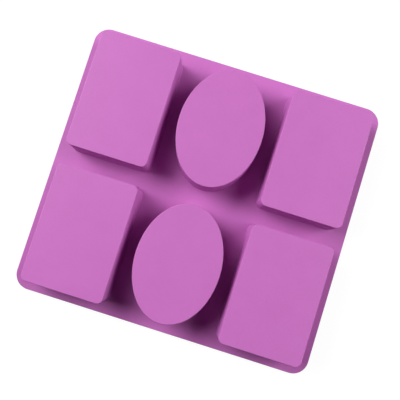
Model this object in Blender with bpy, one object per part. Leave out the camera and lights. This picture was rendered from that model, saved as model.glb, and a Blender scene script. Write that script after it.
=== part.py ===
"""A flexible silicone soap mould, lying mouths down: a thin flange with two rows of three cups
standing up from it. Metres, +Z up, X along a row of cups, the flange's underside at Z = 0."""

import math

import bmesh
import bpy

MM = 0.001

# The flange: one thin sheet, in two halves that meet at the fold line between the rows.
FLANGE_LENGTH = 214 * MM
FLANGE_WIDTH = 195.4 * MM
FLANGE_THICKNESS = 2 * MM
FLANGE_CORNER = 11 * MM

# The cups, measured on the outside at the level of their flat bases.
MOULD_HEIGHT = 25 * MM
COLUMN_PITCH = 68.2 * MM
ROW_PITCH = 94.8 * MM
BAR_LENGTH = 81.8 * MM
BAR_WIDTH = 56.6 * MM
BAR_CORNER = 4 * MM
OVAL_LENGTH = 81.4 * MM
OVAL_WIDTH = 57.8 * MM
DRAFT = 0.8 * MM  # how much wider a cup is, on each side, at its mouth than at its base
CUP_SKIN = 1.8 * MM
BASE_THICKNESS = 2 * MM
EDGE_ROUNDING = 0.8 * MM  # round where a cup's wall turns into its base
RIM = 5 * MM  # the border of each base that stays with the wall when the middle is pushed in
SHARPEST_CORNER = 1 * MM

GAP = 0.3 * MM  # between neighbouring pieces

CORNER_STEPS = 6
OVAL_STEPS = 48
EDGE_STEPS = 3

ROWS = {"rear": 1, "front": -1}
COLUMNS = {"left": -1, "middle": 0, "right": 1}

SILICONE_COLOUR = (0.58, 0.19, 0.54, 1)
SILICONE_ROUGHNESS = 0.55


def rounded_rectangle(half_x, half_y, radius):
    """Points round a rectangle with rounded corners, anticlockwise."""
    points = []
    for corner, (sign_x, sign_y) in enumerate([(1, 1), (-1, 1), (-1, -1), (1, -1)]):
        for step in range(CORNER_STEPS + 1):
            angle = math.radians(90) * (corner + step / CORNER_STEPS)
            x = sign_x * (half_x - radius) + radius * math.cos(angle)
            y = sign_y * (half_y - radius) + radius * math.sin(angle)
            points.append((x, y))
    return points


def oval(half_x, half_y):
    """Points round an ellipse, anticlockwise."""
    angles = [2 * math.pi * step / OVAL_STEPS for step in range(OVAL_STEPS)]
    return [(half_x * math.cos(angle), half_y * math.sin(angle)) for angle in angles]


def cup_outline(column, grow):
    """A cup's outline round its own centre, moved outwards by grow from the edge of its base."""
    if column == "middle":
        return oval(OVAL_WIDTH / 2 + grow, OVAL_LENGTH / 2 + grow)
    radius = max(BAR_CORNER + grow, SHARPEST_CORNER)
    return rounded_rectangle(BAR_WIDTH / 2 + grow, BAR_LENGTH / 2 + grow, radius)


def draft_at(height):
    """How far a cup's wall stands out from the edge of its base at this height."""
    return DRAFT * (1 - height / MOULD_HEIGHT)


def ring_of_points(outline, height):
    return [(x, y, height) for x, y in outline]


def silicone(name):
    material = bpy.data.materials.new(name)
    material.use_nodes = True
    shader = material.node_tree.nodes["Principled BSDF"]
    shader.inputs["Base Color"].default_value = SILICONE_COLOUR
    shader.inputs["Roughness"].default_value = SILICONE_ROUGHNESS
    shader.inputs["Metallic"].default_value = 0
    return material


def add_piece(name, mesh_builder, location, parent):
    """Turns the builder into one named object with its own material."""
    bmesh.ops.recalc_face_normals(mesh_builder, faces=mesh_builder.faces)
    mesh = bpy.data.meshes.new(name)
    mesh_builder.to_mesh(mesh)
    mesh_builder.free()
    mesh.shade_smooth()
    mesh.set_sharp_from_angle(angle=math.radians(35))
    mesh.materials.append(silicone(name + "_silicone"))
    piece = bpy.data.objects.new(name, mesh)
    piece.location = location
    piece.parent = parent
    bpy.context.collection.objects.link(piece)
    return piece


def loft(rings, ends_meet):
    """Skins a run of rings of points. Ends that don't meet are closed with a flat face each."""
    builder = bmesh.new()
    loops = [[builder.verts.new(point) for point in ring] for ring in rings]
    pairs = list(zip(loops, loops[1:]))
    if ends_meet:
        pairs.append((loops[-1], loops[0]))
    else:
        builder.faces.new(loops[0])
        builder.faces.new(loops[-1])
    for low, high in pairs:
        for near in range(len(low)):
            far = (near + 1) % len(low)
            builder.faces.new((low[near], low[far], high[far], high[near]))
    return builder


def flange_half_outline(side):
    """Half of the rounded sheet, from just beside the fold line outwards. side is 1 or -1."""
    whole = rounded_rectangle(FLANGE_LENGTH / 2, FLANGE_WIDTH / 2, FLANGE_CORNER)
    outer = [(x, y) for x, y in whole if y * side > 0]
    if side > 0:
        return outer + [(-FLANGE_LENGTH / 2, GAP / 2), (FLANGE_LENGTH / 2, GAP / 2)]
    return outer + [(FLANGE_LENGTH / 2, -GAP / 2), (-FLANGE_LENGTH / 2, -GAP / 2)]


def add_flange_half(row, location, parent):
    """A flat half sheet with an opening for each of its three cups."""
    side = ROWS[row]
    outlines = [flange_half_outline(side)]
    for column, place in COLUMNS.items():
        opening = cup_outline(column, DRAFT + GAP)
        outlines.append(
            [(x + place * COLUMN_PITCH, y + side * ROW_PITCH / 2) for x, y in opening]
        )
    builder = bmesh.new()
    for outline in outlines:
        loop = [builder.verts.new((x, y, 0)) for x, y in outline]
        for near, far in zip(loop, loop[1:] + loop[:1]):
            builder.edges.new((near, far))
    bmesh.ops.triangle_fill(builder, use_beauty=True, edges=builder.edges)
    extruded = bmesh.ops.extrude_face_region(builder, geom=builder.faces[:])
    raised = [item for item in extruded["geom"] if isinstance(item, bmesh.types.BMVert)]
    bmesh.ops.translate(builder, verts=raised, vec=(0, 0, FLANGE_THICKNESS))
    return add_piece(row + "_flange", builder, location, parent)


def add_cup_wall(name, column, location, parent):
    """A drafted wall, open at the mouth, that turns over a small round into the base's rim."""
    rings = [ring_of_points(cup_outline(column, DRAFT), 0)]
    for step in range(EDGE_STEPS + 1):
        angle = math.radians(90) * step / EDGE_STEPS
        height = MOULD_HEIGHT - EDGE_ROUNDING * (1 - math.sin(angle))
        grow = draft_at(height) - EDGE_ROUNDING * (1 - math.cos(angle))
        rings.append(ring_of_points(cup_outline(column, grow), height))
    inner_height = MOULD_HEIGHT - BASE_THICKNESS
    rings.append(ring_of_points(cup_outline(column, -RIM), MOULD_HEIGHT))
    rings.append(ring_of_points(cup_outline(column, -RIM), inner_height))
    rings.append(ring_of_points(cup_outline(column, draft_at(inner_height) - CUP_SKIN), inner_height))
    rings.append(ring_of_points(cup_outline(column, DRAFT - CUP_SKIN), 0))
    return add_piece(name, loft(rings, ends_meet=True), location, parent)


def add_cup_base(name, column, location, parent):
    """The flat middle of a base. Its origin is on the line that it is pushed in along."""
    outline = cup_outline(column, -RIM - GAP)
    rings = [ring_of_points(outline, -BASE_THICKNESS), ring_of_points(outline, 0)]
    return add_piece(name, loft(rings, ends_meet=False), location, parent)


def add_row(row, parent, parent_height):
    """One half of the mould: its flange and its three cups."""
    add_flange_half(row, (0, 0, -parent_height), parent)
    for column, place in COLUMNS.items():
        x = place * COLUMN_PITCH
        y = ROWS[row] * ROW_PITCH / 2
        name = f"{row}_{column}_cup"
        add_cup_wall(name + "_wall", column, (x, y, -parent_height), parent)
        add_cup_base(name + "_base", column, (x, y, MOULD_HEIGHT - parent_height), parent)


for leftover in list(bpy.data.objects):
    bpy.data.objects.remove(leftover)

fold_line = bpy.data.objects.new("fold_line", None)
fold_line.location = (0, 0, FLANGE_THICKNESS)
bpy.context.collection.objects.link(fold_line)

add_row("rear", None, 0)
add_row("front", fold_line, FLANGE_THICKNESS)
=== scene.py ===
import math

import bmesh
import bpy
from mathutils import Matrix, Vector


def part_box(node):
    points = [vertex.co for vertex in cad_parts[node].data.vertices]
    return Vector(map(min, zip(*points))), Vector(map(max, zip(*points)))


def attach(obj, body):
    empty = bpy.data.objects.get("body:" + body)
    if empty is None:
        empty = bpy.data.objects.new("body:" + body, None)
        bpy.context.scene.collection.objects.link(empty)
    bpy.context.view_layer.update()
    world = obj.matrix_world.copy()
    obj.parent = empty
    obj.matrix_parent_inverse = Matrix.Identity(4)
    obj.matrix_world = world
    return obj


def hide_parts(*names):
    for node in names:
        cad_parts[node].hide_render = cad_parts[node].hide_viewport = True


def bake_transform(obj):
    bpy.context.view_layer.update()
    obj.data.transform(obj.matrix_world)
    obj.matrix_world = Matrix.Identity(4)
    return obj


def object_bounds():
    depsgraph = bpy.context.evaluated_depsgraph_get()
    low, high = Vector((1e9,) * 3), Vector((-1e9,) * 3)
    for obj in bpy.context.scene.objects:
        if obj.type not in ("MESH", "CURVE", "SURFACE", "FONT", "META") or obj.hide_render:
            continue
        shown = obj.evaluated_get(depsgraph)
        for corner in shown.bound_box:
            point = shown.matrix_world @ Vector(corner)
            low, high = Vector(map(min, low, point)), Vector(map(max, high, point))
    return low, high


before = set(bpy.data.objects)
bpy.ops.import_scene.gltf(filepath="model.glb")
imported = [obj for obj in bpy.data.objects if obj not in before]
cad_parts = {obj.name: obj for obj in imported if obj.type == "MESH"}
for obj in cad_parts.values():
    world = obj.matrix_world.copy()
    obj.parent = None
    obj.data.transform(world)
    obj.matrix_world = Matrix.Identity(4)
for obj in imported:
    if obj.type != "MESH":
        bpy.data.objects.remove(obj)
cad_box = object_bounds()

MM = 0.001
ROWS = ("rear", "front")
COLUMNS = ("left", "middle", "right")

# Sizes read from the frame.
FLANGE_HALF = cad_box[1].xy
FLANGE_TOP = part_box("rear_flange")[1].z
MOULD_TOP = cad_box[1].z
BASE_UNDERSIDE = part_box("rear_left_cup_base")[0].z

# The skin's finer shape, which the frame keeps plain.
FLANGE_CORNER = 11 * MM
FLANGE_RIM = 0.4 * MM  # round along the flange's outer edges
DRAFT = 0.8 * MM  # how far a cup's wall stands out at the mouth from the edge of its base
SKIN = 1.8 * MM
BAR_CORNER = 4 * MM
EDGE_ROUNDING = 0.5 * MM  # outside, where the wall turns into the base
CAVITY_ROUNDING = 1.6 * MM  # inside, between the base and the wall
FOOT_FILLET = 0.4 * MM  # outside, where the wall runs out into the flange
MOUTH_ROUNDING = 0.5 * MM
COLLAR = 1.8 * MM  # the flat border of flange that is moulded with each cup

# The part of each base that gives when its middle is pushed in.
FLEX_INSET = 3 * MM
FLEX_WIDTH = 11 * MM
FLEX_STEPS = 8

# How finely the outlines are drawn.
CORNER_STEPS = 12
OVAL_STEPS = 96
OVAL_SIDES = 24  # the flexing border of an oval base is this many straight folds
ROUND_STEPS = 6
FOLD_STEPS = 10
CROSS_STEPS = 12
CUT_TOLERANCE = 0.001 * MM  # a cut that passes this close to a corner goes through it
SQUARE = ((1, 1), (-1, 1), (-1, -1), (1, -1))  # a rectangle's corners, anticlockwise

# Shading: corners sharper than this stay sharp, and large faces set the others' normals.
SMOOTH_ANGLE = math.radians(40)
FAVOUR_LARGE_FACES = 100

# The silicone: two tints, how many lumps each noise has in a metre, and how rough it is.
SILICONE_DEEP = (0.535, 0.149, 0.485, 1)
SILICONE_PALE = (0.565, 0.163, 0.515, 1)
CLOUDS_PER_METRE = 45
SPECKS_PER_METRE = 700
GRAINS_PER_METRE = 2400
CLOUD_SHARE = 0.6  # of the way from the deep tint to the pale one
SPECK_SHARE = 0.4
USUAL_NOISE = (0.3, 0.7)  # the values that a noise mostly keeps between
GRAIN_DEPTH = 0.02 * MM
GRAIN_STRENGTH = 0.25
SMOOTHEST = 0.42
ROUGHEST = 0.52
SILICONE_IOR = 1.41
COLOUR_A, COLOUR_B, COLOUR_RESULT = 6, 7, 2  # a Mix node's sockets for mixing colours

# The camera: its turn is in degrees about X, Y and Z, its lens and film in millimetres.
CAMERA_PLACE = (6.6 * MM, -22.9 * MM, 356.6 * MM)
CAMERA_TURN = (3.6, -0.18, 17.5)
CAMERA_LENS = 45
CAMERA_SENSOR = 36
CAMERA_NEAREST = 50 * MM

# The stage: sizes in metres and angles in degrees.
WHITE = (1, 1, 1, 1)
FLOOR_HALF = 4
FLOOR_DROP = 0.2 * MM  # below the mould, so that the two faces don't flicker
FLOOR_COLOUR = (0.1, 0.1, 0.1, 1)
FLOOR_ROUGHNESS = 0.9
FLOOR_GLOW = 0.92  # only the camera sees it: it keeps the floor white and its shadows faint
SOFTBOX_SIZE = 1.0
SOFTBOX_DISTANCE = 1.6
LIGHTS = (  # name, azimuth, elevation, watts
    ("key_light_left", 170, 35, 21.8),
    ("key_light_rear", 150, 45, 9.6),
    ("fill_light", 20, 35, 19.4),
)


class Cup:
    """Where one cup stands, what shape it is and which bodies carry it."""

    def __init__(self, row, column):
        self.name = f"{row}_{column}"
        self.wall_body = f"{row}_half"
        self.base_body = f"{row}_{column}_base"
        self.wall_node = f"{row}_{column}_cup_wall"
        self.base_node = f"{row}_{column}_cup_base"
        self.oval = column == "middle"
        low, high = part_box(self.wall_node)
        self.centre = ((low + high) / 2).xy
        self.half = ((high - low) / 2).xy - Vector((DRAFT, DRAFT))

    def outline(self, grow):
        """Points round the cup, moved outwards by grow from the edge of its base."""
        half = self.half + Vector((grow, grow))
        if self.oval:
            return [self.centre + point for point in ellipse(half, OVAL_STEPS)]
        corners = rounded_rectangle(half, BAR_CORNER + grow)
        return [self.centre + point for point in corners]

    def flex_corners(self):
        """Corners of the straight-sided outline inside which the base gives."""
        half = self.half - Vector((FLEX_INSET, FLEX_INSET))
        if self.oval:
            points = ellipse(half, OVAL_SIDES)
        else:
            points = [Vector((half.x * x, half.y * y)) for x, y in SQUARE]
        return [self.centre + point for point in points]

    def flex_outline(self):
        """The same outline with as many points as outline() has, in step with them."""
        if self.oval:
            corners = self.flex_corners()
            per_side = OVAL_STEPS // OVAL_SIDES
            return [
                corner.lerp(corners[(side + 1) % OVAL_SIDES], step / per_side)
                for side, corner in enumerate(corners)
                for step in range(per_side)
            ]
        points = []
        for quarter, corner in enumerate(self.flex_corners()):
            inner = corner - Vector(SQUARE[quarter]) * BAR_CORNER
            for step in range(CORNER_STEPS + 1):
                ray = direction(90 * (quarter + step / CORNER_STEPS))
                points.append(inner + ray * BAR_CORNER / max(abs(ray.x), abs(ray.y)))
        return points


def direction(degrees):
    return Vector((math.cos(math.radians(degrees)), math.sin(math.radians(degrees))))


def ellipse(half, steps):
    angles = [360 * step / steps for step in range(steps)]
    return [direction(angle) * half for angle in angles]


def rounded_rectangle(half, radius):
    points = []
    for quarter, signs in enumerate(SQUARE):
        centre = Vector(signs) * (half - Vector((radius, radius)))
        for step in range(CORNER_STEPS + 1):
            points.append(centre + direction(90 * (quarter + step / CORNER_STEPS)) * radius)
    return points


def arc(centre, radius, first, last):
    """Points (outwards, up) along an arc in a cross-section, between two angles in degrees."""
    angles = [first + (last - first) * step / ROUND_STEPS for step in range(ROUND_STEPS + 1)]
    return [(centre + direction(angle) * radius).to_tuple() for angle in angles]


def draft_at(height):
    return DRAFT * (1 - height / MOULD_TOP)


def at_height(points, height):
    return [(point.x, point.y, height) for point in points]


def add_loop(builder, points):
    return [builder.verts.new(point) for point in points]


def bridge(builder, first, second):
    """Quads between two closed loops that have the same number of points."""
    for near in range(len(first)):
        far = (near + 1) % len(first)
        builder.faces.new((first[near], first[far], second[far], second[near]))


def fill_between(builder, loops):
    """Flat faces inside the first loop and outside the others."""
    edges = [
        builder.edges.get((loop[i - 1], loop[i])) or builder.edges.new((loop[i - 1], loop[i]))
        for loop in loops
        for i in range(len(loop))
    ]
    bmesh.ops.triangle_fill(builder, use_beauty=True, edges=edges)


def finish_piece(name, builder, material):
    """Turns the builder into one smooth-shaded object."""
    bmesh.ops.recalc_face_normals(builder, faces=builder.faces)
    mesh = bpy.data.meshes.new(name)
    builder.to_mesh(mesh)
    builder.free()
    mesh.shade_smooth()
    mesh.set_sharp_from_angle(angle=SMOOTH_ANGLE)
    mesh.materials.append(material)
    piece = bpy.data.objects.new(name, mesh)
    bpy.context.scene.collection.objects.link(piece)
    weighted = piece.modifiers.new("even_shading", "WEIGHTED_NORMAL")
    weighted.keep_sharp = True
    weighted.weight = FAVOUR_LARGE_FACES
    return piece


def flange_outline(grow):
    half = FLANGE_HALF + Vector((grow, grow))
    return rounded_rectangle(half, FLANGE_CORNER + grow)


def build_flange(cups, material):
    """The whole thin sheet, with a rounded rim and an opening round each cup's collar."""
    builder = bmesh.new()
    upper = arc(Vector((-FLANGE_RIM, FLANGE_TOP - FLANGE_RIM)), FLANGE_RIM, 90, 0)
    lower = arc(Vector((-FLANGE_RIM, FLANGE_RIM)), FLANGE_RIM, 0, -90)
    rim = [add_loop(builder, at_height(flange_outline(out), up)) for out, up in upper + lower]
    for first, second in zip(rim, rim[1:]):
        bridge(builder, first, second)
    tops = [add_loop(builder, at_height(cup.outline(DRAFT + COLLAR), FLANGE_TOP)) for cup in cups]
    bottoms = [add_loop(builder, at_height(cup.outline(DRAFT + COLLAR), 0)) for cup in cups]
    for top, bottom in zip(tops, bottoms):
        bridge(builder, top, bottom)
    fill_between(builder, [rim[0]] + tops)
    fill_between(builder, [rim[-1]] + bottoms)

    # Rows of edges across the fold, so that it bends in a smooth curve.
    for step in range(FOLD_STEPS + 1):
        cut_across(builder, "y", fold_reach(cups) * (2 * step / FOLD_STEPS - 1))
    for step in range(1, CROSS_STEPS):
        cut_across(builder, "x", FLANGE_HALF.x * (2 * step / CROSS_STEPS - 1))
    flange = finish_piece("flange", builder, material)
    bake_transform(flange)
    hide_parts("rear_flange", "front_flange")


def fold_reach(cups):
    """How far from the fold line the sheet bends: up to the nearest collar."""
    nearest = min(abs(abs(cup.centre.y) - cup.half.y) for cup in cups)
    return nearest - DRAFT - COLLAR


def cut_across(builder, axis, place):
    """Adds edges where the sheet crosses the plane at this place along the axis."""
    normal = Vector((axis == "x", axis == "y", 0))
    everything = builder.verts[:] + builder.edges[:] + builder.faces[:]
    bmesh.ops.bisect_plane(
        builder, geom=everything, dist=CUT_TOLERANCE, plane_co=normal * place, plane_no=normal
    )


def build_shell(cup, material):
    """A cup's wall with its collar, rounded edge and the rim of its base: one closed ring of skin."""
    foot = draft_at(FLANGE_TOP)
    edge = draft_at(MOULD_TOP - EDGE_ROUNDING)
    cavity = draft_at(BASE_UNDERSIDE) - SKIN
    mouth = DRAFT - SKIN
    outside = [(DRAFT + COLLAR, FLANGE_TOP)]
    outside += arc(Vector((foot + FOOT_FILLET, FLANGE_TOP + FOOT_FILLET)), FOOT_FILLET, 270, 180)
    outside += arc(Vector((edge - EDGE_ROUNDING, MOULD_TOP - EDGE_ROUNDING)), EDGE_ROUNDING, 0, 90)
    inside = arc(
        Vector((cavity - CAVITY_ROUNDING, BASE_UNDERSIDE - CAVITY_ROUNDING)), CAVITY_ROUNDING, 90, 0
    )
    inside += arc(Vector((mouth + MOUTH_ROUNDING, MOUTH_ROUNDING)), MOUTH_ROUNDING, 180, 270)
    inside.append((DRAFT + COLLAR, 0))

    builder = bmesh.new()
    loops = [add_loop(builder, at_height(cup.outline(out), up)) for out, up in outside]
    loops.append(add_loop(builder, at_height(cup.flex_outline(), MOULD_TOP)))
    loops.append(add_loop(builder, at_height(cup.flex_outline(), BASE_UNDERSIDE)))
    loops += [add_loop(builder, at_height(cup.outline(out), up)) for out, up in inside]
    for first, second in zip(loops, loops[1:] + loops[:1]):
        bridge(builder, first, second)
    shell = finish_piece(f"{cup.name}_shell", builder, material)
    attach(shell, cup.wall_body)
    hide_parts(cup.wall_node)


def shrink(corners, inset):
    """The outline moved inwards by inset on every side, with its corners on the mitres."""
    moved = []
    for i, corner in enumerate(corners):
        before = inward_normal(corners[i - 1], corner)
        after = inward_normal(corner, corners[(i + 1) % len(corners)])
        moved.append(corner + (before + after) * inset / (1 + before.dot(after)))
    return moved


def inward_normal(first, second):
    """Square to the side from first to second, towards the inside of an anticlockwise outline."""
    along = (second - first).normalized()
    return Vector((-along.y, along.x))


def build_base(cup, material):
    """The base inside the shell's rim: a stiff middle, and round it a border that stretches."""
    outer = cup.flex_corners()
    inner = shrink(outer, FLEX_WIDTH)
    builder = bmesh.new()
    top = add_loop(builder, at_height(inner, MOULD_TOP))
    bottom = add_loop(builder, at_height(inner, BASE_UNDERSIDE))
    bridge(builder, top, bottom)
    fill_between(builder, [top])
    fill_between(builder, [bottom])
    middle = finish_piece(f"{cup.name}_base_middle", builder, material)
    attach(middle, cup.base_body)
    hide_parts(cup.base_node)
    for side in range(len(outer)):
        build_flex_side(cup, side, outer, inner, material)


def build_flex_side(cup, side, outer, inner, material):
    """One straight side of the stretching border, from the rim to the middle."""
    following = (side + 1) % len(outer)
    near_edge, far_edge = [
        [outer[corner].lerp(inner[corner], step / FLEX_STEPS) for step in range(FLEX_STEPS + 1)]
        for corner in (side, following)
    ]
    section = near_edge + far_edge[::-1]
    builder = bmesh.new()
    top = add_loop(builder, at_height(section, MOULD_TOP))
    bottom = add_loop(builder, at_height(section, BASE_UNDERSIDE))
    bridge(builder, top, bottom)
    for loop in (top, bottom):
        for step in range(FLEX_STEPS):
            last = len(loop) - 1 - step
            builder.faces.new((loop[step], loop[step + 1], loop[last - 1], loop[last]))
    piece = finish_piece(f"{cup.name}_base_flex_{side + 1:02d}", builder, material)
    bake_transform(piece)
    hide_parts(cup.base_node)


def new_material(name):
    material = bpy.data.materials.new(name)
    material.use_nodes = True
    nodes = material.node_tree.nodes
    return material, nodes, material.node_tree.links, nodes["Principled BSDF"]


def add_noise(nodes, links, place, scale, detail):
    """Noise that sticks to the surface, with about scale lumps in a metre."""
    noise = nodes.new("ShaderNodeTexNoise")
    noise.inputs["Scale"].default_value = scale
    noise.inputs["Detail"].default_value = detail
    links.new(place, noise.inputs["Vector"])
    return noise.outputs["Fac"]


def add_range(nodes, links, source, low, high):
    """Spreads a noise's usual range over the values from low to high."""
    spread = nodes.new("ShaderNodeMapRange")
    spread.inputs["From Min"].default_value = USUAL_NOISE[0]
    spread.inputs["From Max"].default_value = USUAL_NOISE[1]
    spread.inputs["To Min"].default_value = low
    spread.inputs["To Max"].default_value = high
    links.new(source, spread.inputs["Value"])
    return spread.outputs["Result"]


def silicone_material():
    """Matte moulded silicone: a faint cloudiness in the colour and a fine satin grain."""
    material, nodes, links, shader = new_material("orchid_silicone")
    place = nodes.new("ShaderNodeTexCoord").outputs["Object"]
    clouds = add_noise(nodes, links, place, CLOUDS_PER_METRE, detail=3)
    specks = add_noise(nodes, links, place, SPECKS_PER_METRE, detail=4)
    grain = add_noise(nodes, links, place, GRAINS_PER_METRE, detail=2)

    tint = nodes.new("ShaderNodeMix")
    tint.data_type = "RGBA"
    tint.inputs[COLOUR_A].default_value = SILICONE_DEEP
    tint.inputs[COLOUR_B].default_value = SILICONE_PALE
    mottle = nodes.new("ShaderNodeMath")
    mottle.operation = "ADD"
    links.new(add_range(nodes, links, clouds, 0, CLOUD_SHARE), mottle.inputs[0])
    links.new(add_range(nodes, links, specks, 0, SPECK_SHARE), mottle.inputs[1])
    links.new(mottle.outputs["Value"], tint.inputs["Factor"])
    links.new(tint.outputs[COLOUR_RESULT], shader.inputs["Base Color"])
    links.new(add_range(nodes, links, specks, SMOOTHEST, ROUGHEST), shader.inputs["Roughness"])

    bump = nodes.new("ShaderNodeBump")
    bump.inputs["Strength"].default_value = GRAIN_STRENGTH
    bump.inputs["Distance"].default_value = GRAIN_DEPTH
    links.new(grain, bump.inputs["Height"])
    links.new(bump.outputs["Normal"], shader.inputs["Normal"])
    shader.inputs["IOR"].default_value = SILICONE_IOR
    return material


def make_camera():
    camera = bpy.data.objects.new("camera", bpy.data.cameras.new("camera"))
    camera.data.lens = CAMERA_LENS
    camera.data.sensor_width = CAMERA_SENSOR
    camera.data.clip_start = CAMERA_NEAREST
    camera.location = CAMERA_PLACE
    camera.rotation_euler = [math.radians(angle) for angle in CAMERA_TURN]
    bpy.context.scene.collection.objects.link(camera)
    bpy.context.scene.camera = camera


def seen_by_camera(nodes, links, seen):
    """This value where the camera looks straight at it, and nothing for the light it sends out."""
    path = nodes.new("ShaderNodeLightPath")
    level = nodes.new("ShaderNodeMapRange")
    level.inputs["To Max"].default_value = seen
    links.new(path.outputs["Is Camera Ray"], level.inputs["Value"])
    return level.outputs["Result"]


def make_floor():
    material, nodes, links, shader = new_material("white_floor")
    shader.inputs["Base Color"].default_value = FLOOR_COLOUR
    shader.inputs["Roughness"].default_value = FLOOR_ROUGHNESS
    shader.inputs["Emission Color"].default_value = WHITE
    links.new(seen_by_camera(nodes, links, FLOOR_GLOW), shader.inputs["Emission Strength"])
    mesh = bpy.data.meshes.new("floor")
    corners = [(x * FLOOR_HALF, y * FLOOR_HALF, -FLOOR_DROP) for x, y in SQUARE]
    mesh.from_pydata(corners, [], [(0, 1, 2, 3)])
    mesh.materials.append(material)
    floor = bpy.data.objects.new("floor", mesh)
    bpy.context.scene.collection.objects.link(floor)


def add_softbox(name, azimuth, elevation, power):
    """A square light that faces the mould. Azimuth is anticlockwise from +X, in degrees."""
    light = bpy.data.lights.new(name, "AREA")
    light.size = SOFTBOX_SIZE
    light.energy = power
    softbox = bpy.data.objects.new(name, light)
    level = direction(azimuth) * math.cos(math.radians(elevation))
    away = level.to_3d() + Vector((0, 0, math.sin(math.radians(elevation))))
    softbox.location = away * SOFTBOX_DISTANCE
    softbox.rotation_euler = away.to_track_quat("Z", "Y").to_euler()
    softbox.visible_camera = False
    bpy.context.scene.collection.objects.link(softbox)


def make_world():
    """A dark room that the camera sees as plain white."""
    world = bpy.data.worlds.new("studio")
    world.use_nodes = True
    nodes, links = world.node_tree.nodes, world.node_tree.links
    background = nodes["Background"]
    background.inputs["Color"].default_value = WHITE
    links.new(seen_by_camera(nodes, links, 1), background.inputs["Strength"])
    bpy.context.scene.world = world


def light_the_stage():
    make_floor()
    make_world()
    for name, azimuth, elevation, power in LIGHTS:
        add_softbox(name, azimuth, elevation, power)
    view = bpy.context.scene.view_settings
    view.view_transform = "Standard"
    view.look = "None"


make_camera()
light_the_stage()
silicone = silicone_material()
cups = [Cup(row, column) for row in ROWS for column in COLUMNS]
build_flange(cups, silicone)
for cup in cups:
    build_shell(cup, silicone)
    build_base(cup, silicone)
